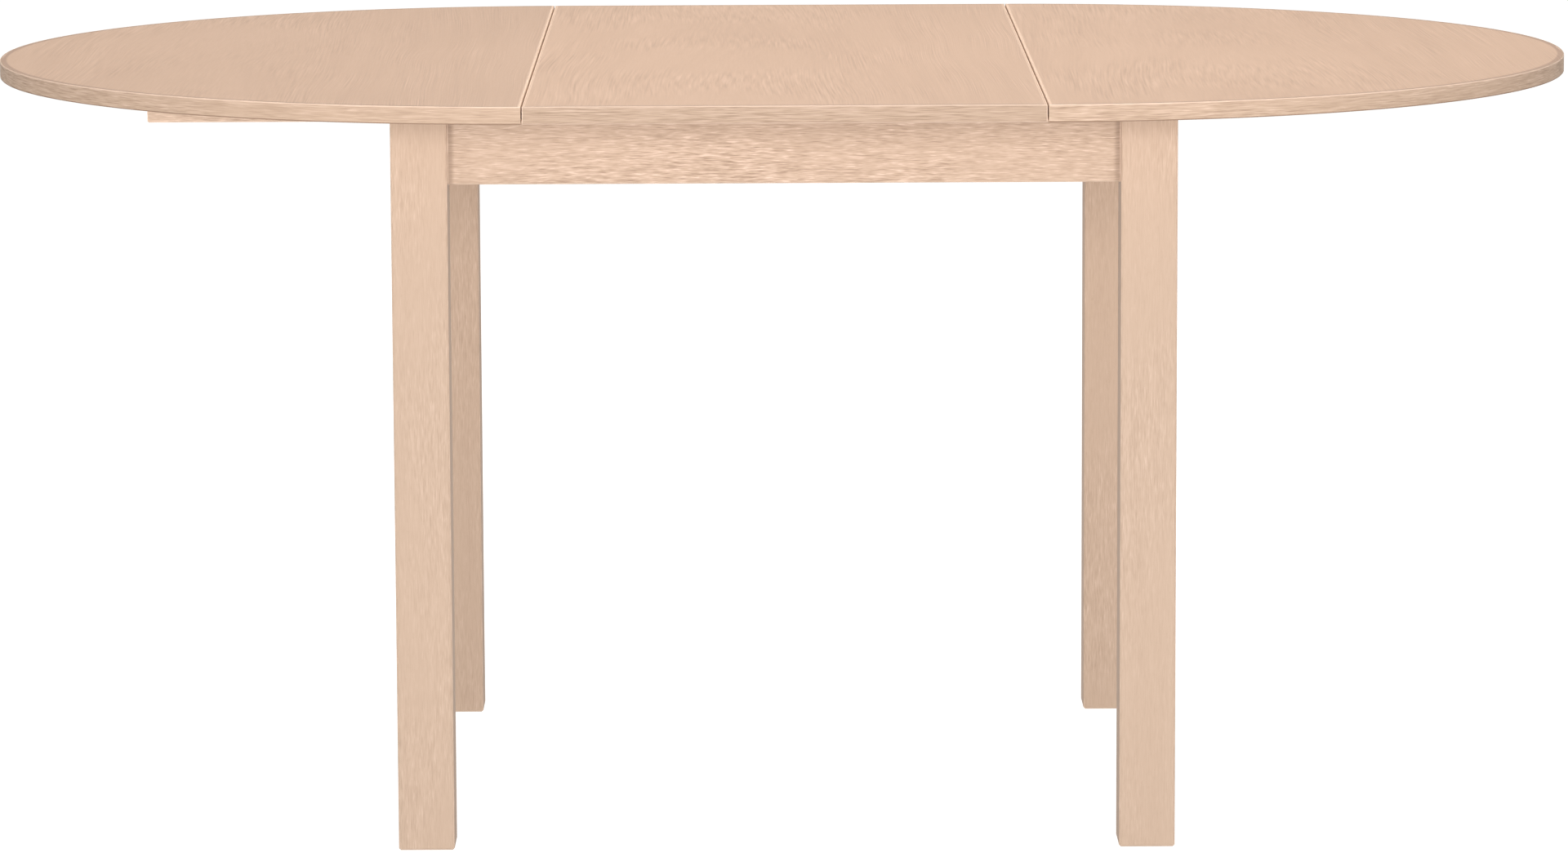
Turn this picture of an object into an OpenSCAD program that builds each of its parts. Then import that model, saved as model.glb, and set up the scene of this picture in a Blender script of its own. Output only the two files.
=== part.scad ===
/*
  Round extension table.

  Two half tops slide apart on wooden runners over a fixed leg frame, and a
  loose insert leaf fills the gap between them.  The table is drawn extended,
  with the leaf in place.  The origin is on the floor under the centre of the
  table, +X runs along the long way of the top, -Y is the front, +Z is up.
*/

/* [Overall] */
// Height of the top surface above the floor
table_h = 755; // [620:5:920]
// Diameter of the round top when the leaf is out
top_d = 1100; // [900:10:1400]
// Width of the gap that the leaf fills between the half tops
leaf_w = 500; // [300:10:600]
// How far the closed round top stands out past each side of the leg frame
rim_overhang = 167; // [120:1:210]

/* [Top] */
// Thickness of the half tops and of the leaf
board_t = 17; // [15:0.5:30]
// Thickness of the bands glued round the boards
band_t = 2; // [1:0.5:4]
// Bevel along the long edges of each band
band_arris = 0.6; // [0.2:0.1:0.9]
// Open gap at each seam between a half top and the leaf
seam_gap = 1.2; // [0.3:0.1:2]

/* [Legs] */
// Side of the square legs
leg_w = 55; // [44:1:80]
// Bevel along the upright edges of the legs
leg_arris = 1.5; // [0.5:0.5:4]
// Bevel round the foot of each leg
foot_bevel = 2; // [1:0.5:6]
// Diameter of the floor glides
glide_d = 30; // [20:1:36]
// Thickness of the floor glides
glide_t = 3; // [2:0.5:6]
// How far the floor glides stand out below the feet
glide_proud = 1; // [0.5:0.5:2]

/* [Aprons] */
// Height of the aprons
apron_h = 76; // [62:1:110]
// Thickness of the aprons
apron_t = 20; // [16:0.5:25]
// How far the apron faces lie behind the leg faces
apron_setback = 9; // [2:0.5:12]
// Bevel along the lower edge of the aprons
apron_arris = 1.5; // [0.5:0.5:3]
// Gap between the leg frame and the underside of the top
frame_gap = 1; // [0.5:0.1:3]
// Thickness of the corner blocks, measured along the corner's diagonal
block_t = 25; // [18:1:30]

/* [Slides] */
// From the front and back aprons to the middle of the guide rails
rail_inset = 96; // [78:1:125]
// Width of a guide rail's body
rail_w = 14; // [11:0.5:20]
// Height of the guide rails
rail_h = 40; // [32:1:52]
// Height of a guide rail's tongues
tongue_h = 8; // [5:0.5:10]
// How far the tongues stand out from the rail's body
tongue_reach = 7; // [4:0.5:9]
// Width of the runners
runner_w = 30; // [24:0.5:36]
// Height of the runners
runner_h = 23; // [19:0.5:30]
// How far inside the leg frame the left runners end when the table is closed
left_tuck = 7; // [5:1:60]
// How far inside the leg frame the right runners end when the table is closed
right_tuck = 95; // [40:1:120]
// Space between a closed runner's inner end and the far apron
runner_end_gap = 51; // [20:1:60]
// How far a half top pulls out past the leaf before its pegs stop it
over_travel = 30; // [15:1:40]
// Bevel along the lower edge of each runner's end
runner_end_bevel = 1.5; // [0.5:0.5:10]

/* [Fits] */
// Side gap between a guide rail and a runner
side_clear = 0.5; // [0.3:0.1:1]
// Gap above and below a tongue in its groove
tongue_clear = 0.3; // [0.2:0.1:0.6]
// Gap round a runner where it passes through an apron
notch_clear = 1; // [0.5:0.1:2]
// Gap left between a stop peg and the apron at full travel
stop_clear = 0.3; // [0.1:0.1:1]
// Side gap between the leaf's cleats and the inner runners
cleat_clear = 2; // [1:0.5:5]
// Gap between a slide pad and the underside of the top
pad_clear = 0.2; // [0.1:0.1:0.4]
// Gap round a screw, peg, dowel or bolt in its hole
hole_clear = 0.05; // [0.02:0.01:0.2]

/* [Fasteners] */
// Diameter of the hanger bolts
bolt_d = 8; // [6:1:10]
// Depth of the hanger bolts in the legs
bolt_grip = 35; // [25:1:40]
// Diameter of the wood screws
screw_d = 4; // [3:0.5:5]
// Diameter of the dowels between legs and aprons
dowel_d = 10; // [8:1:12]
// Length of the dowels between legs and aprons
dowel_len = 40; // [30:1:48]
// Diameter of the stop pegs under the runners
peg_d = 8; // [6:0.5:9]
// Screws in each runner
runner_screws = 4; // [2:1:6]

/* [Hidden] */

LEFT = -1;
RIGHT = 1;
FRONT = -1;
BACK = 1;

TOP_WOOD = "#dcbda5";
BAND_WOOD = "#d8b79c";
FRAME_WOOD = "#e3c2a5";
BLOCK_WOOD = "#d9b58f";
DOWEL_WOOD = "#cfa67c";
ZINC = "#b9bcc0";
NYLON = "#cbbfae";
FELT = "#8a7f74";

fine = 180;   // facets on the rim
round = 48;   // facets on fasteners and holes
slack = 1;    // cutters run this far past the face they cut

// Heights
top_r = top_d / 2;
underside = table_h - board_t;
frame_top = underside - frame_gap;
apron_z = frame_top - apron_h;
runner_z = underside - runner_h;
notch_floor = runner_z - notch_clear;

// Leg frame, measured from the centre
frame_half = top_r - rim_overhang;
leg_in = frame_half - leg_w;
leg_middle = frame_half - leg_w / 2;
apron_out = frame_half - apron_setback;
apron_in = apron_out - apron_t;

// Top boards
seam_x = leaf_w / 2;
board_r = top_r - band_t;
leaf_half = seam_x - seam_gap;

// Guide rails and runners
rail_y = apron_in - rail_inset;
rail_z = frame_top - rail_h;
runner_off = rail_w / 2 + side_clear;
tongue_z = runner_z + runner_h / 2;
groove_depth = tongue_reach - side_clear + 1;
runner_inner_x = seam_x + runner_end_gap - apron_in;
left_runner_x = seam_x + frame_half - left_tuck;
right_runner_x = seam_x + frame_half - right_tuck;
runner_arris = 1;

// Stop pegs
peg_r = peg_d / 2;
peg_drop = 8;    // below the runner
peg_seat = 10;   // inside the runner
peg_x = apron_in - over_travel - stop_clear - peg_r;
peg_y = runner_w - peg_r - 2;

// Screws
screw_r = screw_d / 2;
screw_head_r = screw_d;
screw_point = 3;
cross_depth = 1.4;
cross_w = 0.9;
cross_span = 4;
runner_screw_y = (groove_depth + peg_y - peg_r) / 2;
runner_screw_margin = 30;
runner_screw_len = runner_h + 0.65 * board_t;

// Cleats under the leaf
cleat_w = 20;
cleat_h = 18;
cleat_len = leaf_w - 100;
cleat_y = rail_y - runner_off - runner_w - cleat_clear - cleat_w;
cleat_screws = 3;
cleat_screw_margin = 40;
cleat_screw_len = cleat_h + 0.6 * board_t;

// Corner blocks, with a slanted face one block thickness from the leg's flat
block_z = apron_z + 3;
block_top = runner_z - peg_drop - 2;
block_h = block_top - block_z;
block_leg = block_t * sqrt(2);
flat_d = (apron_in + leg_in) / sqrt(2);
block_d = flat_d - block_t;
bolt_heights = [block_z + 0.2 * block_h, block_z + 0.8 * block_h];

// Hanger bolts, washers and nuts
bolt_r = bolt_d / 2;
bolt_point = 4;
washer_r = 0.9375 * bolt_d;
washer_t = 1.6;
nut_flats = 1.625 * bolt_d;
nut_h = 0.8 * bolt_d;
bolt_spare = 5;   // bolt left showing past the nut
bolt_end_d = block_d - washer_t - nut_h - bolt_spare;
bolt_hole_extra = 0.4;   // the hole in a block is this much wider all round

// Dowels
dowel_r = dowel_d / 2;
apron_dowel_heights = [apron_z + 12, notch_floor - 10];
rail_dowel_r = 4;
rail_dowel_len = 30;
rail_dowel_in_apron = 0.6 * apron_t;
rail_dowel_heights = [rail_z + 0.2 * rail_h, rail_z + 0.6 * rail_h];

// Block screws, halfway between the heights of the apron dowels
block_screw_x = leg_in - 0.55 * block_leg;
block_screw_bite = 9;    // wood of the block under the screw's head
block_screw_len = block_screw_bite + apron_t - 7;
block_screw_z = (apron_dowel_heights[0] + apron_dowel_heights[1]) / 2;
pocket_len = 25;

// Slide pads
pad_r = 8;
pad_t = frame_gap - pad_clear;
pad_x = 0.6 * seam_x;

// Stem of the floor glides
stem_r = 2.5;
stem_len = 15;

// ---------------------------------------------------------------- helpers

// Draws the children as for the back right quarter, in the named quarter.
module quarter(side, depth) {
    mirror([side < 0 ? 1 : 0, 0, 0])
        mirror([0, depth < 0 ? 1 : 0, 0])
            children();
}

module every_quarter() {
    for (side = [LEFT, RIGHT], depth = [FRONT, BACK])
        quarter(side, depth) children();
}

// Puts the children's z axis along the diagonal of the back right corner.
module along_diagonal(height) {
    translate([0, 0, height]) rotate([0, 90, 45]) children();
}

// A bar whose cross-section is drawn in y and z, running from x0 to x1.
module bar_along_x(x0, x1) {
    translate([x0, 0, 0]) rotate([90, 0, 90]) linear_extrude(x1 - x0) children();
}

module square_with_bevels(size, bevel) {
    polygon([
        [bevel, 0], [size - bevel, 0], [size, bevel], [size, size - bevel],
        [size - bevel, size], [bevel, size], [0, size - bevel], [0, bevel]
    ]);
}

// A band's cross-section: x is its thickness, and its outer edges are bevelled.
module band_section() {
    polygon([
        [0, 0], [band_t - band_arris, 0], [band_t, band_arris],
        [band_t, board_t - band_arris], [band_t - band_arris, board_t], [0, board_t]
    ]);
}

// A straight band, running from -len/2 to len/2 in y, with its outer face at x.
module straight_band(x, len) {
    translate([x - band_t, len / 2, underside])
        rotate([90, 0, 0]) linear_extrude(len) band_section();
}

// A countersunk wood screw with its head's face at z = 0, pointing down.
module screw(len) {
    difference() {
        rotate_extrude($fn = round) polygon([
            [0, 0], [screw_head_r, 0], [screw_r, screw_r - screw_head_r],
            [screw_r, screw_point - len], [0, -len]
        ]);
        for (turn = [0, 90]) rotate(turn)
            translate([-cross_span / 2, -cross_w / 2, -cross_depth])
                cube([cross_span, cross_w, cross_depth + slack]);
    }
}

// The hole that a screw of that length fits.
module screw_hole(len) {
    rotate_extrude($fn = round) polygon([
        [0, slack], [screw_head_r + hole_clear, slack], [screw_head_r + hole_clear, 0],
        [screw_r + hole_clear, screw_r - screw_head_r],
        [screw_r + hole_clear, -len - hole_clear], [0, -len - hole_clear]
    ]);
}

module dowel(r, len) {
    cylinder(r = r, h = len, center = true, $fn = round);
}

// ---------------------------------------------------------------- places

// Runner screws of one half, drawn for the back right quarter.
module at_runner_screws(end_x, y) {
    first = seam_x + runner_screw_margin;
    step = (end_x - runner_screw_margin - first) / (runner_screws - 1);
    for (i = [0:runner_screws - 1])
        translate([first + i * step, y, runner_z]) rotate([180, 0, 0]) children();
}

module at_cleat_screws() {
    span = cleat_len - 2 * cleat_screw_margin;
    for (i = [0:cleat_screws - 1])
        translate([
            i * span / (cleat_screws - 1) - span / 2,
            cleat_y + cleat_w / 2,
            underside - cleat_h
        ]) rotate([180, 0, 0]) children();
}

// Both screws of the back right corner block.
module at_block_screws() {
    for (swap = [0, 1])
        mirror([swap, -swap, 0])
            translate([block_screw_x, apron_in - block_screw_bite, block_screw_z])
                rotate([90, 0, 0]) children();
}

// Both pairs of dowels that join the back right leg to its aprons.
module at_apron_dowels() {
    for (swap = [0, 1], height = apron_dowel_heights)
        mirror([swap, -swap, 0])
            translate([leg_in, apron_in + apron_t / 2, height])
                rotate([0, 90, 0]) children();
}

// The dowels at the right end of the back guide rail.
module at_rail_dowels() {
    for (height = rail_dowel_heights)
        translate([apron_in + rail_dowel_in_apron - rail_dowel_len / 2, rail_y, height])
            rotate([0, 90, 0]) children();
}

// ---------------------------------------------------------------- top

// y of the face that a half's runners turn towards the guide rail, and the
// direction in which their width runs: the left runners lie outside the
// rails and the right runners inside them.
function runner_face(side) = side == LEFT ? rail_y + runner_off : rail_y - runner_off;
function runner_dir(side) = side == LEFT ? 1 : -1;
function runner_end(side) = side == LEFT ? left_runner_x : right_runner_x;
function runner_y(side, across) = runner_face(side) + runner_dir(side) * across;

module half_top(side) {
    color(TOP_WOOD)
    difference() {
        quarter(side, BACK) translate([seam_x, 0, underside])
            linear_extrude(board_t) intersection() {
                circle(r = board_r, $fn = fine);
                translate([band_t, -top_r]) square([top_r, top_d]);
            }
        for (depth = [FRONT, BACK]) quarter(side, depth)
            at_runner_screws(runner_end(side), runner_y(side, runner_screw_y))
                screw_hole(runner_screw_len);
    }
}

module edge_band(side) {
    color(BAND_WOOD)
    quarter(side, BACK) translate([seam_x, 0, underside]) rotate(-90)
        rotate_extrude(angle = 180, $fn = fine)
            translate([board_r, 0]) band_section();
}

module seam_band(side) {
    color(BAND_WOOD)
    quarter(side, BACK) intersection() {
        translate([2 * seam_x, 0, 0]) mirror([1, 0, 0]) straight_band(seam_x, top_d);
        translate([seam_x, 0, underside]) cylinder(r = board_r, h = board_t, $fn = fine);
    }
}

module leaf() {
    size = [2 * (leaf_half - band_t), 2 * board_r, board_t];
    color(TOP_WOOD)
    difference() {
        translate([-size.x / 2, -size.y / 2, underside]) cube(size);
        for (depth = [FRONT, BACK]) quarter(RIGHT, depth)
            at_cleat_screws() screw_hole(cleat_screw_len);
    }
}

module leaf_end_band(depth) {
    color(BAND_WOOD)
    rotate(depth * 90) straight_band(top_r, 2 * leaf_half);
}

module leaf_side_band(side) {
    color(BAND_WOOD)
    quarter(side, BACK) straight_band(leaf_half, 2 * board_r);
}

module leaf_cleat(depth) {
    color(BLOCK_WOOD)
    quarter(RIGHT, depth) difference() {
        translate([-cleat_len / 2, cleat_y, underside - cleat_h])
            cube([cleat_len, cleat_w, cleat_h]);
        at_cleat_screws() screw_hole(cleat_screw_len);
    }
}

module leaf_cleat_screws() {
    color(ZINC)
    for (depth = [FRONT, BACK]) quarter(RIGHT, depth)
        at_cleat_screws() screw(cleat_screw_len);
}

// ---------------------------------------------------------------- slides

// Cross-section of a runner: x is measured from the face towards the rail.
module runner_section() {
    groove_h = tongue_h + 2 * tongue_clear;
    difference() {
        polygon([
            [runner_arris, 0], [runner_w - runner_arris, 0], [runner_w, runner_arris],
            [runner_w, runner_h], [0, runner_h], [0, runner_arris]
        ]);
        translate([-slack, (runner_h - groove_h) / 2])
            square([groove_depth + slack, groove_h]);
    }
}

module runner(side, depth) {
    end_x = runner_end(side);
    color(FRAME_WOOD)
    quarter(side, depth) difference() {
        translate([0, runner_face(side), runner_z])
            mirror([0, side == LEFT ? 0 : 1, 0])
                bar_along_x(runner_inner_x, end_x) runner_section();
        translate([end_x, 0, runner_z]) rotate([0, 45, 0])
            cube([runner_end_bevel * sqrt(2), top_d, runner_end_bevel * sqrt(2)], center = true);
        at_runner_screws(end_x, runner_y(side, runner_screw_y)) screw_hole(runner_screw_len);
        translate([peg_x, runner_y(side, peg_y), runner_z - slack])
            cylinder(r = peg_r + hole_clear, h = peg_seat + hole_clear + slack, $fn = round);
    }
}

module runner_screw_set(side) {
    color(ZINC)
    for (depth = [FRONT, BACK]) quarter(side, depth)
        at_runner_screws(runner_end(side), runner_y(side, runner_screw_y))
            screw(runner_screw_len);
}

module stop_pegs(side) {
    color(DOWEL_WOOD)
    for (depth = [FRONT, BACK]) quarter(side, depth)
        translate([peg_x, runner_y(side, peg_y), runner_z - peg_drop])
            cylinder(r = peg_r, h = peg_drop + peg_seat, $fn = round);
}

module guide_rail(depth) {
    body = rail_w / 2;
    wide = body + tongue_reach;
    low = tongue_z - tongue_h / 2;
    high = tongue_z + tongue_h / 2;
    color(BLOCK_WOOD)
    quarter(RIGHT, depth) difference() {
        translate([0, rail_y, 0]) bar_along_x(-apron_in, apron_in)
            polygon([
                [-body, rail_z], [body, rail_z], [body, low], [wide, low], [wide, high],
                [body, high], [body, frame_top], [-body, frame_top], [-body, high],
                [-wide, high], [-wide, low], [-body, low]
            ]);
        for (side = [LEFT, RIGHT]) quarter(side, BACK) at_rail_dowels()
            dowel(rail_dowel_r + hole_clear, rail_dowel_len + 2 * hole_clear);
    }
}

module rail_dowels() {
    color(DOWEL_WOOD)
    every_quarter() at_rail_dowels() dowel(rail_dowel_r, rail_dowel_len);
}

module slide_pads() {
    apron_middle = apron_in + apron_t / 2;
    color(FELT)
    every_quarter() for (place = [[leg_middle, leg_middle], [pad_x, apron_middle]])
        translate([place.x, place.y, frame_top]) cylinder(r = pad_r, h = pad_t, $fn = round);
}

// ---------------------------------------------------------------- leg frame

module leg(side, depth) {
    leg_len = frame_top - glide_proud;
    cut = foot_bevel * sqrt(2);
    color(FRAME_WOOD)
    quarter(side, depth) difference() {
        translate([leg_in, leg_in, glide_proud])
            linear_extrude(leg_len) square_with_bevels(leg_w, leg_arris);
        // bevel round the foot
        translate([leg_middle, leg_middle, glide_proud])
            for (turn = [0:90:270]) rotate(turn) translate([leg_w / 2, 0, 0])
                rotate([0, 45, 0]) cube([cut, 2 * leg_w, cut], center = true);
        // flat that the corner block pulls against
        translate([0, 0, apron_z]) linear_extrude(apron_h + slack) polygon([
            [leg_in - slack, leg_in - slack],
            [apron_in + slack, leg_in - slack],
            [leg_in - slack, apron_in + slack]
        ]);
        at_apron_dowels() dowel(dowel_r + hole_clear, dowel_len + 2 * hole_clear);
        for (height = bolt_heights) along_diagonal(height)
            cylinder(r = bolt_r + hole_clear, h = flat_d + bolt_grip + hole_clear, $fn = round);
        translate([leg_middle, leg_middle, 0]) {
            cylinder(r = glide_d / 2 + hole_clear, h = glide_t, $fn = round);
            cylinder(r = stem_r + hole_clear, h = glide_t + stem_len + hole_clear, $fn = round);
        }
    }
}

module glide(side, depth) {
    color(NYLON)
    quarter(side, depth) translate([leg_middle, leg_middle, 0]) {
        rotate_extrude($fn = round) polygon([
            [0, 0], [glide_d / 2 - 1, 0], [glide_d / 2, 1], [glide_d / 2, glide_t], [0, glide_t]
        ]);
        cylinder(r = stem_r, h = glide_t + stem_len, $fn = round);
    }
}

// Cross-section of an apron: x runs outwards from its inner face.
module apron_section() {
    polygon([
        [0, 0], [apron_t - apron_arris, 0], [apron_t, apron_arris],
        [apron_t, apron_h], [0, apron_h]
    ]);
}

// An apron between the legs, drawn as the back one.
module apron_board() {
    translate([0, apron_in, apron_z]) bar_along_x(-leg_in, leg_in) apron_section();
}

// What the corners take out of every apron.
module apron_corner_holes() {
    every_quarter() {
        at_apron_dowels() dowel(dowel_r + hole_clear, dowel_len + 2 * hole_clear);
        at_block_screws() screw_hole(block_screw_len);
    }
}

module long_apron(depth) {
    color(FRAME_WOOD)
    difference() {
        quarter(RIGHT, depth) apron_board();
        apron_corner_holes();
    }
}

// A side apron, notched for the runners of its own half.
module side_apron(side) {
    notch_w = runner_w + 2 * notch_clear;
    notch_y = side == LEFT
        ? runner_face(side) - notch_clear
        : runner_face(side) - runner_w - notch_clear;
    color(FRAME_WOOD)
    difference() {
        quarter(side, BACK) rotate(-90) apron_board();
        apron_corner_holes();
        for (depth = [FRONT, BACK]) quarter(side, depth)
            translate([apron_in - slack, notch_y, notch_floor])
                cube([apron_t + 2 * slack, notch_w, frame_top - notch_floor + slack]);
        every_quarter() at_rail_dowels()
            dowel(rail_dowel_r + hole_clear, rail_dowel_len + 2 * hole_clear);
    }
}

module corner_block(side, depth) {
    color(BLOCK_WOOD)
    quarter(side, depth) difference() {
        translate([0, 0, block_z]) linear_extrude(block_h) polygon([
            [apron_in, leg_in], [leg_in, apron_in],
            [leg_in - block_leg, apron_in], [apron_in, leg_in - block_leg]
        ]);
        for (height = bolt_heights) along_diagonal(height)
            cylinder(r = bolt_r + bolt_hole_extra, h = flat_d + slack, $fn = round);
        at_block_screws() {
            screw_hole(block_screw_len);
            cylinder(r = screw_head_r + bolt_hole_extra, h = pocket_len, $fn = round);
        }
    }
}

module block_screws() {
    color(ZINC)
    every_quarter() at_block_screws() screw(block_screw_len);
}

module apron_dowels() {
    color(DOWEL_WOOD)
    every_quarter() at_apron_dowels() dowel(dowel_r, dowel_len);
}

module hanger_bolts() {
    color(ZINC)
    every_quarter() for (height = bolt_heights) along_diagonal(height) {
        translate([0, 0, bolt_end_d])
            cylinder(r = bolt_r, h = flat_d + bolt_grip - bolt_point - bolt_end_d, $fn = round);
        translate([0, 0, flat_d + bolt_grip - bolt_point])
            cylinder(r1 = bolt_r, r2 = 1, h = bolt_point, $fn = round);
    }
}

module ring(outer_r, h, sides) {
    difference() {
        cylinder(r = outer_r, h = h, $fn = sides);
        translate([0, 0, -slack])
            cylinder(r = bolt_r + hole_clear, h = h + 2 * slack, $fn = round);
    }
}

module hanger_washers() {
    color(ZINC)
    every_quarter() for (height = bolt_heights) along_diagonal(height)
        translate([0, 0, block_d - washer_t]) ring(washer_r, washer_t, round);
}

module hanger_nuts() {
    color(ZINC)
    every_quarter() for (height = bolt_heights) along_diagonal(height)
        translate([0, 0, block_d - washer_t - nut_h]) ring(nut_flats / sqrt(3), nut_h, 6);
}

// ---------------------------------------------------------------- the nodes

half_top(LEFT);  // left_half_top
half_top(RIGHT);  // right_half_top
leaf();  // insert_leaf
edge_band(LEFT);  // left_edge_band
edge_band(RIGHT);  // right_edge_band
seam_band(LEFT);  // left_seam_band
seam_band(RIGHT);  // right_seam_band
leaf_end_band(FRONT);  // leaf_front_band
leaf_end_band(BACK);  // leaf_back_band
leaf_side_band(LEFT);  // leaf_left_band
leaf_side_band(RIGHT);  // leaf_right_band
leg(LEFT, FRONT);  // front_left_leg
leg(RIGHT, FRONT);  // front_right_leg
leg(LEFT, BACK);  // back_left_leg
leg(RIGHT, BACK);  // back_right_leg
glide(LEFT, FRONT);  // front_left_glide
glide(RIGHT, FRONT);  // front_right_glide
glide(LEFT, BACK);  // back_left_glide
glide(RIGHT, BACK);  // back_right_glide
long_apron(FRONT);  // front_apron
long_apron(BACK);  // back_apron
side_apron(LEFT);  // left_apron
side_apron(RIGHT);  // right_apron
corner_block(LEFT, FRONT);  // front_left_block
corner_block(RIGHT, FRONT);  // front_right_block
corner_block(LEFT, BACK);  // back_left_block
corner_block(RIGHT, BACK);  // back_right_block
guide_rail(FRONT);  // front_guide_rail
guide_rail(BACK);  // back_guide_rail
runner(LEFT, FRONT);  // left_front_runner
runner(LEFT, BACK);  // left_back_runner
runner(RIGHT, FRONT);  // right_front_runner
runner(RIGHT, BACK);  // right_back_runner
runner_screw_set(LEFT);  // left_runner_screws
runner_screw_set(RIGHT);  // right_runner_screws
stop_pegs(LEFT);  // left_stop_pegs
stop_pegs(RIGHT);  // right_stop_pegs
leaf_cleat(FRONT);  // front_leaf_cleat
leaf_cleat(BACK);  // back_leaf_cleat
leaf_cleat_screws();
hanger_bolts();
hanger_washers();
hanger_nuts();
block_screws();
apron_dowels();
rail_dowels();
slide_pads();
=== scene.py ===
"""Looks of the round extension table: wood, metal, nylon and felt, a pale floor, soft light and the camera.

Lengths are metres, except where a comment says millimetres.
"""

import math

import bpy
from mathutils import Matrix, Vector


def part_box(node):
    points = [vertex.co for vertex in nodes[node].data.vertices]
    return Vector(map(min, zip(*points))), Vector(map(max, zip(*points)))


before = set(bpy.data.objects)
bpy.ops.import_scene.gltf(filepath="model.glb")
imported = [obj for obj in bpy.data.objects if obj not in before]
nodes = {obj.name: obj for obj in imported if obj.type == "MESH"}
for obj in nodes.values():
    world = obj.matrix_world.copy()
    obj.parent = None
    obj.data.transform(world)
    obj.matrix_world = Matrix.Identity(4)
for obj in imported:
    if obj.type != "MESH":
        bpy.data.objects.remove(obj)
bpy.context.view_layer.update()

# Sizes of the top, from the frame
leaf_low, leaf_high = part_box("insert_leaf")
seam_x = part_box("right_seam_band")[0].x          # the half discs' centres lie at this x and at -x
rim_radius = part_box("left_edge_band")[1].y       # of the half discs, with their bands
board_radius = leaf_high.y                       # of the half discs, without their bands

# ------------------------------------------------------------------ camera, floor and light

CAMERA_PLACE = (-0.0287, -6.8115, 1.3953)
CAMERA_YAW = -0.245      # degrees, positive turns left
CAMERA_PITCH = 8.603     # degrees below the horizon
CAMERA_ROLL = 0.235      # degrees, positive drops the right side
CAMERA_LENS = 152.63     # millimetres
CAMERA_SENSOR = 36.0     # millimetres wide
CAMERA_REACH = 200.0     # well past the floor's far corners

# The floor is a pale acrylic panel lit from below, which keeps it white with hardly any shadow.
FLOOR_HALF = 40.0        # half of the floor's side
FLOOR_COLOUR = "#8e8d8c"
FLOOR_ROUGHNESS = 0.9
FLOOR_CLOUDS = 0.8       # cycles a metre of the faint clouds in the panel
FLOOR_CLOUD_TONE = 0.97  # brightness of the darker clouds
FLOOR_GLOW_COLOUR = "#fffffe"
FLOOR_GLOW = 0.97
SKY_COLOUR = "#ffffff"
SKY_HORIZON = 1.0        # strength at the horizon, like a white cove round the floor
SKY_ABOVE = 0.15         # strength overhead
SKY_FADE = (0.15, 0.30)  # sines of the angles above the horizon between which it goes from one to the other

# name: place, size, watts, spread in degrees
SOFTBOXES = {
    "front_light": ((0.0, -7.6, 1.25), 2.4, 60.0, 60.0),
    "left_light": ((-2.4, -3.0, 1.1), 1.5, 4.0, 70.0),
    "right_light": ((2.4, -3.0, 1.1), 1.5, 4.4, 70.0),
    "top_light": ((0.0, -0.1, 3.7), 3.2, 152.0, 180.0),
    "back_light": ((0.0, 4.2, 2.4), 3.0, 30.0, 180.0),
}
LIGHT_AIM = (0.0, 0.0, 0.95)
MATT_LIGHT = "back_light"    # has no mirror image, which would wash out the top in low views


def make_camera():
    camera = bpy.data.objects.new("camera", bpy.data.cameras.new("camera"))
    camera.data.sensor_width = CAMERA_SENSOR
    camera.data.lens = CAMERA_LENS
    camera.data.clip_end = CAMERA_REACH
    turn = (
        Matrix.Rotation(math.radians(CAMERA_YAW), 4, "Z")
        @ Matrix.Rotation(math.radians(90.0 - CAMERA_PITCH), 4, "X")
        @ Matrix.Rotation(math.radians(-CAMERA_ROLL), 4, "Z")
    )
    camera.matrix_world = Matrix.Translation(CAMERA_PLACE) @ turn
    bpy.context.scene.collection.objects.link(camera)
    bpy.context.scene.camera = camera


def make_softbox(name, place, size, watts, spread):
    lamp = bpy.data.lights.new(name, "AREA")
    lamp.shape = "SQUARE"
    lamp.size = size
    lamp.energy = watts
    lamp.spread = math.radians(spread)
    light = bpy.data.objects.new(name, lamp)
    light.visible_glossy = name != MATT_LIGHT
    light.location = place
    aim = Vector(LIGHT_AIM) - Vector(place)
    light.rotation_euler = aim.to_track_quat("-Z", "Y").to_euler()
    bpy.context.scene.collection.objects.link(light)


def make_sky():
    world = bpy.data.worlds.new("studio")
    world.use_nodes = True
    tree = world.node_tree
    back = tree.nodes["Background"]
    back.inputs["Color"].default_value = (*linear(SKY_COLOUR), 1.0)
    place = tree.nodes.new("ShaderNodeTexCoord")
    parts = tree.nodes.new("ShaderNodeSeparateXYZ")
    fade = tree.nodes.new("ShaderNodeMapRange")
    fade.interpolation_type = "SMOOTHSTEP"
    fade.inputs["From Min"].default_value = SKY_FADE[0]
    fade.inputs["From Max"].default_value = SKY_FADE[1]
    fade.inputs["To Min"].default_value = SKY_HORIZON
    fade.inputs["To Max"].default_value = SKY_ABOVE
    tree.links.new(place.outputs["Generated"], parts.inputs[0])
    tree.links.new(parts.outputs["Z"], fade.inputs["Value"])
    tree.links.new(fade.outputs[0], back.inputs["Strength"])
    bpy.context.scene.world = world


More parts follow.
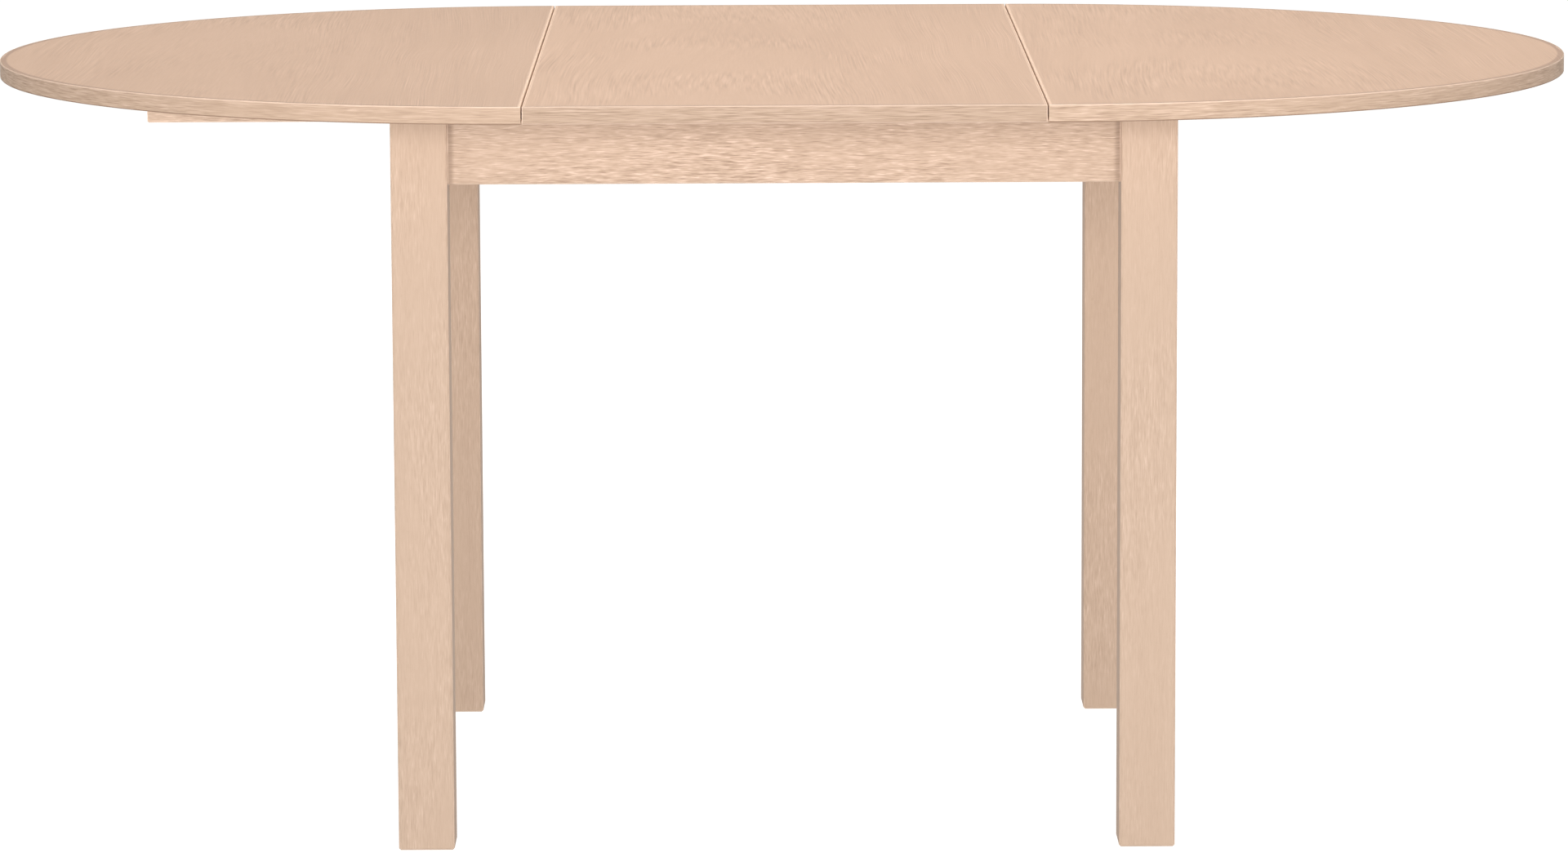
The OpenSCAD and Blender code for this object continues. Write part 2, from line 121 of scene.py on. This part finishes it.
def make_floor():
    far = FLOOR_HALF
    corners = [(-far, -far, 0.0), (far, -far, 0.0), (far, far, 0.0), (-far, far, 0.0)]
    mesh = bpy.data.meshes.new("floor")
    mesh.from_pydata(corners, [], [(0, 1, 2, 3)])
    floor = bpy.data.objects.new("floor", mesh)
    bpy.context.scene.collection.objects.link(floor)
    shader = Shader("floor_acrylic")
    clouds = shader.noise(object_place(shader), FLOOR_CLOUDS, detail=3.0)
    colour = shader.ramp(clouds, [(0.3, shade(FLOOR_COLOUR, FLOOR_CLOUD_TONE)), (0.7, linear(FLOOR_COLOUR))])
    shader.finish(
        colour, FLOOR_ROUGHNESS, specular=0.0, glow=FLOOR_GLOW,
        glow_colour=(*linear(FLOOR_GLOW_COLOUR), 1.0),
    )
    mesh.materials.append(shader.material)


# ------------------------------------------------------------------ shader building

# The principled shader's inputs that Shader.finish sets to a constant, by its own short names
LEVELS = {
    "metallic": "Metallic",
    "specular": "Specular IOR Level",
    "coat": "Coat Weight",
    "coat_roughness": "Coat Roughness",
    "sheen": "Sheen Weight",
    "glow": "Emission Strength",
    "glow_colour": "Emission Color",
}


def linear(colour):
    """Linear red, green and blue of a colour written as #rrggbb."""
    parts = [int(colour[i:i + 2], 16) / 255.0 for i in (1, 3, 5)]
    return [p / 12.92 if p <= 0.04045 else ((p + 0.055) / 1.055) ** 2.4 for p in parts]


def shade(colour, factor):
    return [factor * part for part in linear(colour)]


class Shader:
    """One material, built a node at a time. Each step returns the socket that the next one takes."""

    def __init__(self, name):
        self.material = bpy.data.materials.new(name)
        self.material.use_nodes = True
        self.tree = self.material.node_tree
        self.tree.nodes.clear()

    def node(self, kind, inputs=None, **settings):
        """A new node. Each input is a socket to link or a constant, by its name or number."""
        made = self.tree.nodes.new(kind)
        for key, value in settings.items():
            setattr(made, key, value)
        for key, value in (inputs or {}).items():
            if isinstance(value, bpy.types.NodeSocket):
                self.tree.links.new(value, made.inputs[key])
            else:
                made.inputs[key].default_value = value
        return made

    def math(self, operation, a, b=0.0, c=0.0):
        return self.node("ShaderNodeMath", {0: a, 1: b, 2: c}, operation=operation).outputs[0]

    def add(self, *values):
        total = values[0]
        for value in values[1:]:
            total = self.math("ADD", total, value)
        return total

    def times(self, a, b):
        return self.math("MULTIPLY", a, b)

    def less(self, a, b):
        return self.math("SUBTRACT", a, b)

    def least(self, a, b):
        return self.math("MINIMUM", a, b)

    def most(self, a, b):
        return self.math("MAXIMUM", a, b)

    def unsigned(self, value):
        return self.math("ABSOLUTE", value)

    def vector(self, x, y, z):
        return self.node("ShaderNodeCombineXYZ", {0: x, 1: y, 2: z}).outputs[0]

    def noise(self, place, scale, detail=2.0, roughness=0.5):
        """Noise around 0.5. scale is in cycles a metre, one for all axes or one for each axis of place."""
        if isinstance(scale, float):
            scale = (scale, scale, scale)
        scaled = self.node("ShaderNodeVectorMath", {0: place, 1: scale}, operation="MULTIPLY").outputs[0]
        inputs = {"Vector": scaled, "Scale": 1.0, "Detail": detail, "Roughness": roughness}
        return self.node("ShaderNodeTexNoise", inputs).outputs[0]

    def swing(self, value, reach):
        """Turns noise around 0.5 into a value from about -reach to reach."""
        return self.math("MULTIPLY_ADD", value, 2.0 * reach, -reach)

    def step(self, value, low, high):
        """0 below low, 1 above high, and smooth between them. low may be the larger."""
        inputs = {"Value": value, "From Min": low, "From Max": high}
        return self.node("ShaderNodeMapRange", inputs, interpolation_type="SMOOTHSTEP").outputs[0]

    def ramp(self, value, stops):
        """A colour for each value, from (value, linear colour) pairs."""
        made = self.node("ShaderNodeValToRGB", {0: value})
        elements = made.color_ramp.elements
        while len(elements) < len(stops):
            elements.new(1.0)
        for element, (position, colour) in zip(elements, stops):
            element.position = position
            element.color = (*colour, 1.0)
        return made.outputs[0]

    def mix(self, factor, a, b):
        """The colour a, going over to the constant colour b as factor goes from 0 to 1."""
        made = self.node("ShaderNodeMix", {0: factor, 6: a}, data_type="RGBA", clamp_factor=True)
        made.inputs[7].default_value = (*b, 1.0)
        return made.outputs[2]

    def bump(self, surface, distance):
        inputs = {"Height": surface, "Distance": distance, "Strength": 1.0}
        return self.node("ShaderNodeBump", inputs).outputs[0]

    def finish(self, colour, roughness, normal=None, **levels):
        """Ends the material. levels are constants, by the names in LEVELS."""
        inputs = {"Base Color": colour, "Roughness": roughness}
        if normal is not None:
            inputs["Normal"] = normal
        for key, value in levels.items():
            inputs[LEVELS[key]] = value
        principled = self.node("ShaderNodeBsdfPrincipled", inputs)
        self.node("ShaderNodeOutputMaterial", {"Surface": principled.outputs[0]})


def paint(name, material):
    mesh = nodes[name].data
    mesh.materials.clear()
    mesh.materials.append(material)


# ------------------------------------------------------------------ places on the table

X, Y, Z = 0, 1, 2        # numbers of the axes


def object_place(shader):
    return shader.node("ShaderNodeTexCoord").outputs["Object"]


def object_xyz(shader):
    return list(shader.node("ShaderNodeSeparateXYZ", {0: object_place(shader)}).outputs)


def bearing(shader, centre_x):
    """Angle round the upright axis at centre_x, from the table's end, in radians."""
    x, y, z = object_xyz(shader)
    return shader.math("ARCTAN2", y, shader.unsigned(shader.less(x, centre_x)))


def inset(shader, centre_x, radius):
    """How far a point lies inside the circle of that radius about the upright axis at centre_x."""
    x, y, z = object_xyz(shader)
    out = shader.less(x, centre_x)
    reach = shader.math("SQRT", shader.add(shader.times(out, out), shader.times(y, y)))
    return shader.less(radius, reach)


def below_top(shader):
    """How far a point lies below the table's top."""
    return shader.less(leaf_high.z, object_xyz(shader)[Z])


# ------------------------------------------------------------------ wood looks

# base, light, dark, worn: the wood's own colour, its palest and darkest grain, and where it is worn
# wear, shadow: how strongly the worn places and the painted shade show
# sway, wobble: how far the grain bends, loosely and finely
# wobble_pitch: cycles a metre of the fine bends
# pith, lean: the growth rings go round a line pith away, and lean farther away each metre along the board
# line, length: width and length of one hair of the grain
# relief, hair: how strongly hairs are lit from one side, and how much paler the largest ones are
# band, band_floor: width of the zones of stronger and weaker grain, and the least strength
# stripe, stripe_depth, patch_depth: width and strength of the stripes, and strength of the large patches
# fibre, fibre_depth, fleck: width and strength of the fine fibre, and strength of the flecks
# bump: how far the grain stands out
# roughness, coat, specular: the lacquer
VENEER = dict(
    base="#bc9b81", light="#d6b49b", dark="#8d6e5a", worn="#e4c5ad", wear=0.5, shadow=0.6,
    sway=0.020, wobble=0.0010, wobble_pitch=6.0, pith=0.12, lean=0.02,
    line=0.0019, length=0.32, relief=0.20, hair=0.04, band=0.05, band_floor=0.20,
    stripe=0.016, stripe_depth=0.10, patch_depth=0.06,
    fibre=0.0009, fibre_depth=0.04, fleck=0.03, bump=0.00002,
    roughness=0.46, coat=0.08, specular=0.30,
)
FRAME = dict(
    VENEER, base="#a58f7d", light="#bea797", dark="#7b6555", worn="#cfb6a4", wear=0.7, shadow=0.45,
    sway=0.0015, wobble=0.0002, wobble_pitch=22.0, pith=0.30, lean=0.0,
    line=0.0009, length=0.014, relief=0.46, hair=0.30, band=0.03, band_floor=0.60,
    stripe=0.006, stripe_depth=0.05, patch_depth=0.03,
    fibre_depth=0.05, fleck=0.08, bump=0.00005, roughness=0.60, coat=0.0, specular=0.12,
)
BANDING = dict(
    FRAME, base="#a58e7b", light="#bea695", dark="#7b6454", wear=0.6, shadow=0.9, wobble=0.0003, pith=0.40,
    line=0.0008, length=0.024, relief=0.38, hair=0.12, band=0.015,
    stripe=0.004, stripe_depth=0.10, bump=0.00004, specular=0.05,
)
SEAM = dict(BANDING, wear=0.0, shadow=0.6)
LEG = dict(FRAME, relief=0.18, hair=0.10, band_floor=0.3, bump=0.00003)
RUNNER = dict(FRAME, base="#b49e8c", light="#ccb5a3", relief=0.35)
INNER = dict(FRAME, base="#a98f75", light="#c0a78b", dark="#7c6149", relief=0.6, roughness=0.65)
DOWEL = dict(FRAME, base="#9f8263", light="#b79a7b", dark="#71563d", relief=0.6)

# Brightness of single boards, some of it painted light and shade
# the left half is painted darker as shade, and the right lighter as light
HALF_LIGHT_AND_SHADE_TONES = {"left": 0.93, "right": 1.02}
SEAM_TONE_AND_HIGHLIGHT = 1.75         # the seams' edges are cream, and brightened further as a painted highlight
LEAF_END_TONE = 0.88
# the back legs are painted lighter, as painted light against the shade they stand in
LEG_PAINTED_LIGHT_TONES = {"front_left": 1.0, "front_right": 1.0, "back_left": 1.04, "back_right": 1.10}

# Every board has a seed of its own. One step of it moves the pattern this far along the grain and into
# the wood.
SEED_ALONG = 0.731
SEED_DEPTH = 1.37

# Noise scales along, across and into the wood, in cycles a metre
SWAY_SCALE = (1.7, 6.0, 6.0)
PATCH_SCALE = (2.2, 5.0, 5.0)
ZONE_ALONG = 4.0
STRIPE_ALONG = 1.6
FIBRE_ALONG = 40.0
FLECK_ALONG = 180.0

WOBBLE_CROSS = 2.0       # the fine bends are this much closer across the grain than along it
RING_SLANT = 0.35        # share of the way across that is added to a ring's radius, so its sides differ
HAIR_ACROSS = 0.7        # cycles of the hairs across the board, for one across the rings
LIT_SIDE = 0.45          # a hair's lit side lies this share of its width beside it
LIT_GAIN = 3.0           # the difference between the two sides is small, so it counts this many times
FLECK_WIDTH = 0.55       # cycles of the flecks for one of the fibre
FLECK_DARKNESS = 0.5
BASE_LEVEL = 0.5         # where a board has its base colour, between 0, dark, and 1, light

# Noise levels where something begins and where it is full
HAIR_LEVELS = (0.58, 0.70)
ZONE_LEVELS = (0.40, 0.62)
FLECK_LEVELS = (0.62, 0.74)

# What the grain does to the lacquer's roughness and to the surface
ROUGH_FIBRE = 0.08
ROUGH_RELIEF = -0.1
BUMP_FIBRE = 0.35
BUMP_FLECK = -0.8
COAT_ROUGHNESS = 0.3

# Worn edges, and the painted shade on the seams' edges: their widths, and the shares of a width where the
# wear and the shade are gone and where they are full
WORN_EDGE = 0.0014
SEAM_SHADE_EDGE = 0.0007
WEAR_AND_SHADE_SHARES = (1.0, 0.3)
EDGE_NOISE_SCALE = 60.0       # cycles a metre of the noise that makes the width of a worn edge, and of the painted shade at a seam, uneven
EDGE_NOISE_LEAST = 0.4        # share of the width that is left where the noise is least
EDGE_NOISE_EXTRA = 1.2        # share that it adds where it is most

# Painted shade in lines: the distances where it is gone and where it is full
LOWER_EDGE_SHADE = (0.0014, 0.0007)
JOINT_SHADE = (0.0060, 0.0036)
BOARD_END_SHADE = (0.0080, 0.0032)

# How a straight board lies: the axes along its grain, across its face and into it
FLAT_ALONG_X = (X, Y, Z)
FLAT_ALONG_Y = (Y, X, Z)
UPRIGHT = (Z, X, Y)
ON_EDGE_ALONG_X = (X, Z, Y)
ON_EDGE_ALONG_Y = (Y, Z, X)

# ------------------------------------------------------------------ wood grain


def straight_grain(shader, lie, box):
    """How far a point is along, across and into a straight board, the last two from its middle."""
    along, across, depth = lie
    low, high = box
    place = object_xyz(shader)
    return (
        place[along],
        shader.less(place[across], (low[across] + high[across]) / 2),
        shader.less(place[depth], (low[depth] + high[depth]) / 2),
    )


def curved_grain(shader, centre_x):
    """How far a point is along, across and into a band bent round the upright axis at centre_x."""
    return (
        shader.times(bearing(shader, centre_x), rim_radius),
        shader.less(object_xyz(shader)[Z], (leaf_low.z + leaf_high.z) / 2),
        inset(shader, centre_x, rim_radius),
    )


def bent_across(shader, look, place, across):
    """The way across the board, bent as the grain is."""
    pitch = look["wobble_pitch"]
    wobble_scale = (pitch, WOBBLE_CROSS * pitch, WOBBLE_CROSS * pitch)
    sway = shader.swing(shader.noise(place, SWAY_SCALE, detail=1.0), look["sway"])
    wobble = shader.swing(shader.noise(place, wobble_scale, detail=2.0), look["wobble"])
    return shader.add(across, sway, wobble)


def ring_radius(shader, look, along, side, depth):
    """Radius of the growth ring at a point, from the pith."""
    under = shader.add(shader.math("MULTIPLY_ADD", along, look["lean"], look["pith"]), depth)
    radius = shader.math("SQRT", shader.add(shader.times(side, side), shader.times(under, under)))
    return shader.add(radius, shader.times(side, RING_SLANT))


def hair_relief(shader, look, ring, along, side, depth):
    """How light the hairs of the grain are: lit on one side and shaded on the other."""
    line = 1.0 / look["line"]
    scale = (line, 1.0 / look["length"], HAIR_ACROSS * line)
    beside = shader.add(ring, LIT_SIDE * look["line"])
    near = shader.noise(shader.vector(ring, along, side), scale, detail=1.5)
    far = shader.noise(shader.vector(beside, along, side), scale, detail=1.5)
    lit = shader.times(shader.less(near, far), LIT_GAIN * look["relief"])
    hairs = shader.times(shader.step(near, *HAIR_LEVELS), look["hair"])
    zone_scale = (1.0 / look["band"], ZONE_ALONG, 1.0)
    zones = shader.noise(shader.vector(ring, along, depth), zone_scale, detail=2.0)
    floor = look["band_floor"]
    strength = shader.math("MULTIPLY_ADD", shader.step(zones, *ZONE_LEVELS), 1.0 - floor, floor)
    return shader.times(shader.add(lit, hairs), strength)


def wood(name, grain, look, seed, tone, wear, shadow):
    """Wood with hairs of grain lit from one side, stripes, patches, fibre and flecks.

    seed moves the pattern, and tone is the board's own brightness, which on some boards holds painted light
    and shade. grain, wear and shadow are functions of the shader: grain makes (along, across, depth), and
    wear and shadow make a value from 0 to 1 that says where the wood is worn pale and where it is darkened
    with painted shade.
    """
    shader = Shader(name)
    along, across, depth = grain(shader)
    along = shader.add(along, SEED_ALONG * seed)
    place = shader.vector(along, across, shader.add(depth, SEED_DEPTH * seed))
    side = bent_across(shader, look, place, across)
    ring = ring_radius(shader, look, along, side, depth)
    relief = hair_relief(shader, look, ring, along, side, depth)

    stripe_scale = (1.0 / look["stripe"], STRIPE_ALONG, 1.0)
    stripes = shader.noise(shader.vector(ring, along, depth), stripe_scale, detail=3.0, roughness=0.55)
    patches = shader.noise(place, PATCH_SCALE, detail=2.0)
    fine = 1.0 / look["fibre"]
    fibre = shader.noise(place, (FIBRE_ALONG, fine, fine), detail=2.0, roughness=0.65)
    specks = shader.noise(place, (FLECK_ALONG, FLECK_WIDTH * fine, FLECK_WIDTH * fine), detail=1.0)
    flecks = shader.times(shader.step(specks, *FLECK_LEVELS), look["fleck"])

    level = shader.add(
        BASE_LEVEL,
        relief,
        shader.swing(stripes, look["stripe_depth"]),
        shader.swing(patches, look["patch_depth"]),
        shader.swing(fibre, look["fibre_depth"]),
        shader.times(flecks, -FLECK_DARKNESS),
    )
    dark = shade(look["dark"], tone)
    base = shade(look["base"], tone)
    light = shade(look["light"], tone)
    colour = shader.ramp(level, [(0.0, dark), (BASE_LEVEL, base), (1.0, light)])
    if shadow is not None:
        # painted shade: the colour goes toward the dark grain colour where shadow says
        colour = shader.mix(shader.times(shadow(shader), look["shadow"]), colour, dark)
    if look["wear"] > 0.0:
        worn = shade(look["worn"], tone)
        colour = shader.mix(shader.times(wear(shader), look["wear"]), colour, worn)

    rough = shader.add(
        look["roughness"], shader.swing(fibre, ROUGH_FIBRE), shader.times(relief, ROUGH_RELIEF),
    )
    surface = shader.add(relief, shader.times(fibre, BUMP_FIBRE), shader.times(flecks, BUMP_FLECK))
    shader.finish(
        colour, rough, shader.bump(surface, look["bump"]),
        coat=look["coat"], coat_roughness=COAT_ROUGHNESS, specular=look["specular"],
    )
    return shader.material


# ------------------------------------------------------------------ worn and darker places


def edge_wear_and_shade(shader, first, second, width=WORN_EDGE):
    """1 on the edge where two faces meet, and 0 about width from it, for edge wear and for painted shade on
    edges.

    first and second are the distances to the two faces.
    """
    edge_noise = shader.noise(object_place(shader), EDGE_NOISE_SCALE, detail=3.0)
    uneven = shader.math("MULTIPLY_ADD", edge_noise, EDGE_NOISE_EXTRA * width, EDGE_NOISE_LEAST * width)
    return shader.step(shader.math("DIVIDE", shader.most(first, second), uneven), *WEAR_AND_SHADE_SHARES)


def worn_edges(shader, box):
    """1 at the edges of a box, where the middle one of the distances to its faces is small."""
    low, high = box
    x_gap, y_gap, z_gap = [
        shader.least(shader.less(part, low[axis]), shader.less(high[axis], part))
        for axis, part in enumerate(object_xyz(shader))
    ]
    nearer = shader.least(x_gap, y_gap)
    farther = shader.most(x_gap, y_gap)
    return edge_wear_and_shade(shader, nearer, shader.least(farther, z_gap))


def worn_rim(shader, centre_x):
    """1 on the upper edge of a half top's round band."""
    return edge_wear_and_shade(shader, inset(shader, centre_x, rim_radius), below_top(shader))


def seam_edge_shade(shader, x):
    """1 on the upper edge of a seam's band, at the face at x, where it is painted dark as shade beside the
    gap.
    """
    beside = shader.unsigned(shader.less(object_xyz(shader)[X], x))
    return edge_wear_and_shade(shader, beside, below_top(shader), SEAM_SHADE_EDGE)


def lower_edge_shade(shader):
    """1 along the lower edge of a band, which is painted dark there as shade."""
    above = shader.less(object_xyz(shader)[Z], leaf_low.z)
    return shader.step(above, *LOWER_EDGE_SHADE)


def joint_shade(shader, inside):
    """1 where a board meets its band, which is painted dark there as shade along the joint. inside is the
    distance from there.
    """
    return shader.step(inside, *JOINT_SHADE)


def board_end_shade(shader, axis, box):
    """1 in the corners where a rail's ends meet its neighbours, which are painted dark there as shade."""
    low, high = box
    part = object_xyz(shader)[axis]
    gap = shader.least(shader.less(part, low[axis]), shader.less(high[axis], part))
    return shader.step(gap, *BOARD_END_SHADE)


# ------------------------------------------------------------------ the wooden pieces


def straight_wood(node, lie, look, seed, tone=1.0, shadow=None):
    """Paints a board whose grain runs straight, as lie says, and which is worn along its edges."""
    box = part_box(node)
    paint(node, wood(
        f"{node}_wood", lambda shader: straight_grain(shader, lie, box), look, seed, tone,
        lambda shader: worn_edges(shader, box), shadow,
    ))


def paint_half(side, number, centre_x):
    """One half top, its bands, and the leaf's band beside it. number is 0 on the left and 1 on the right."""
    # the half top: painted shade along the joint with its band, and its tone painted shade on the left and
    # painted light on the right
    straight_wood(
        f"{side}_half_top", FLAT_ALONG_Y, VENEER, 1.0 + 2.0 * number, HALF_LIGHT_AND_SHADE_TONES[side],
        lambda shader: joint_shade(shader, inset(shader, centre_x, board_radius)),
    )
    # the round band: worn on its upper edge, with painted shade along its lower edge
    paint(f"{side}_edge_band", wood(
        f"{side}_edge_band_wood", lambda shader: curved_grain(shader, centre_x), BANDING, 4.0 + number, 1.0,
        lambda shader: worn_rim(shader, centre_x), lower_edge_shade,
    ))
    leaf_x = (leaf_low.x, leaf_high.x)[number]
    # the seams' bands: brightened as a painted highlight, with painted shade on their edges by the gap
    straight_wood(
        f"{side}_seam_band", ON_EDGE_ALONG_Y, SEAM, 6.0 + number, SEAM_TONE_AND_HIGHLIGHT,
        lambda shader: seam_edge_shade(shader, centre_x),
    )
    straight_wood(
        f"leaf_{side}_band", ON_EDGE_ALONG_Y, SEAM, 8.0 + number, SEAM_TONE_AND_HIGHLIGHT,
        lambda shader: seam_edge_shade(shader, leaf_x),
    )


def leaf_joint_shade(shader):
    """1 where the leaf's board meets its front and back bands, painted dark there as shade along the joint.
    """
    return joint_shade(shader, shader.less(board_radius, shader.unsigned(object_xyz(shader)[Y])))


def paint_top():
    paint_half("left", 0, -seam_x)
    paint_half("right", 1, seam_x)
    # the leaf: painted shade along its joints with the front and back bands
    straight_wood("insert_leaf", FLAT_ALONG_Y, VENEER, 2.0, 1.0, leaf_joint_shade)
    # the leaf's end bands: painted shade along their lower edges
    straight_wood("leaf_front_band", ON_EDGE_ALONG_X, BANDING, 10.0, LEAF_END_TONE, lower_edge_shade)
    straight_wood("leaf_back_band", ON_EDGE_ALONG_X, BANDING, 11.0, LEAF_END_TONE, lower_edge_shade)


def apron_wood(side, lie, seed):
    """Paints an apron, with painted shade at its ends where it meets the legs."""
    node = f"{side}_apron"
    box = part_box(node)
    # painted shade at the apron's ends, beside the legs
    straight_wood(node, lie, FRAME, seed, 1.0, lambda shader: board_end_shade(shader, lie[0], box))


def paint_frame():
    # the back legs' tones are painted light
    for number, (corner, tone) in enumerate(LEG_PAINTED_LIGHT_TONES.items()):
        straight_wood(f"{corner}_leg", UPRIGHT, LEG, 12.0 + number, tone)
        straight_wood(f"{corner}_block", UPRIGHT, INNER, 16.0 + number)
    for number, side in enumerate(("front", "back")):
        apron_wood(side, ON_EDGE_ALONG_X, 20.0 + number)
        straight_wood(f"{side}_guide_rail", ON_EDGE_ALONG_X, INNER, 22.0 + number)
        straight_wood(f"{side}_leaf_cleat", ON_EDGE_ALONG_X, INNER, 24.0 + number)
    for number, side in enumerate(("left", "right")):
        apron_wood(side, ON_EDGE_ALONG_Y, 26.0 + number)
        straight_wood(f"{side}_front_runner", ON_EDGE_ALONG_X, RUNNER, 28.0 + number)
        straight_wood(f"{side}_back_runner", ON_EDGE_ALONG_X, RUNNER, 30.0 + number)
        straight_wood(f"{side}_stop_pegs", UPRIGHT, DOWEL, 32.0 + number)
    straight_wood("apron_dowels", FLAT_ALONG_X, DOWEL, 34.0)
    straight_wood("rail_dowels", FLAT_ALONG_X, DOWEL, 35.0)


# ------------------------------------------------------------------ metal, nylon and felt

# Scales are in cycles a metre, and bumps say how far the pattern stands out.
ZINC = [(0.3, "#a9adb0"), (0.5, "#c3c6c8"), (0.7, "#d6d4cc")]
ZINC_ROUGHNESS = 0.28
BLOTCH_SCALE = 90.0
BLOTCH_ROUGHNESS = 0.10      # most that a blotch adds or takes away
GRIT_SCALE = 1500.0
GRIT_ROUGHNESS = 0.05        # most that the grit adds or takes away
GRIT_BUMP = 0.00002

NYLON = [(0.3, "#bfb29f"), (0.7, "#d2c7b6")]
NYLON_ROUGHNESS = 0.45
CLOUD_SCALE = 120.0
SCRATCH_COLOUR = "#a39784"
SCRATCH_SCALE = (900.0, 90.0, 90.0)
SCRATCH_LEVELS = (0.52, 0.66)
SCRATCH_STRENGTH = 0.35
SCRATCH_ROUGHNESS = 0.2      # added in a scratch
SCRATCH_BUMP = 0.00002

FELT = [(0.35, "#655b51"), (0.5, "#8a7f74"), (0.65, "#a89d90")]
FELT_ROUGHNESS = 0.95
FELT_SHEEN = 0.4
WOOL_SCALE = 700.0
WOOL_BUMP = 0.0002
TUFT_SCALE = 150.0
TUFT_SHARE = 0.4             # of the felt's light and dark; the hairs of wool make the rest


def linear_stops(stops):
    return [(position, linear(colour)) for position, colour in stops]


def paint_metal():
    """Zinc plating with soft blotches and a fine grit."""
    shader = Shader("zinc_plating")
    place = object_place(shader)
    blotch = shader.noise(place, BLOTCH_SCALE, detail=4.0, roughness=0.6)
    grit = shader.noise(place, GRIT_SCALE, detail=2.0)
    uneven = shader.add(shader.swing(blotch, BLOTCH_ROUGHNESS), shader.swing(grit, GRIT_ROUGHNESS))
    colour = shader.ramp(blotch, linear_stops(ZINC))
    shader.finish(colour, shader.add(ZINC_ROUGHNESS, uneven), shader.bump(grit, GRIT_BUMP), metallic=1.0)
    for name in nodes:
        if name.endswith(("screws", "bolts", "washers", "nuts")):
            paint(name, shader.material)


def paint_nylon():
    """Cloudy nylon with scratches along y."""
    shader = Shader("glide_nylon_finish")
    place = object_place(shader)
    cloud = shader.noise(place, CLOUD_SCALE, detail=3.0)
    scratch = shader.noise(place, SCRATCH_SCALE, detail=3.0, roughness=0.7)
    scuffed = shader.step(scratch, *SCRATCH_LEVELS)
    colour = shader.ramp(cloud, linear_stops(NYLON))
    colour = shader.mix(shader.times(scuffed, SCRATCH_STRENGTH), colour, linear(SCRATCH_COLOUR))
    rough = shader.math("MULTIPLY_ADD", scuffed, SCRATCH_ROUGHNESS, NYLON_ROUGHNESS)
    shader.finish(colour, rough, shader.bump(scratch, SCRATCH_BUMP))
    for name in nodes:
        if name.endswith("_glide"):
            paint(name, shader.material)


def paint_felt():
    """Wool felt: fine hairs gathered in tufts."""
    shader = Shader("pad_felt_wool")
    place = object_place(shader)
    hairs = shader.noise(place, WOOL_SCALE, detail=4.0, roughness=0.7)
    tufts = shader.noise(place, TUFT_SCALE, detail=2.0)
    level = shader.add(shader.times(hairs, 1.0 - TUFT_SHARE), shader.times(tufts, TUFT_SHARE))
    colour = shader.ramp(level, linear_stops(FELT))
    shader.finish(colour, FELT_ROUGHNESS, shader.bump(hairs, WOOL_BUMP), sheen=FELT_SHEEN)
    paint("slide_pads", shader.material)


# ------------------------------------------------------------------ the scene

bpy.context.scene.view_settings.view_transform = "Standard"
make_camera()
make_sky()
make_floor()
for name, softbox in SOFTBOXES.items():
    make_softbox(name, *softbox)
paint_top()
paint_frame()
paint_metal()
paint_nylon()
paint_felt()
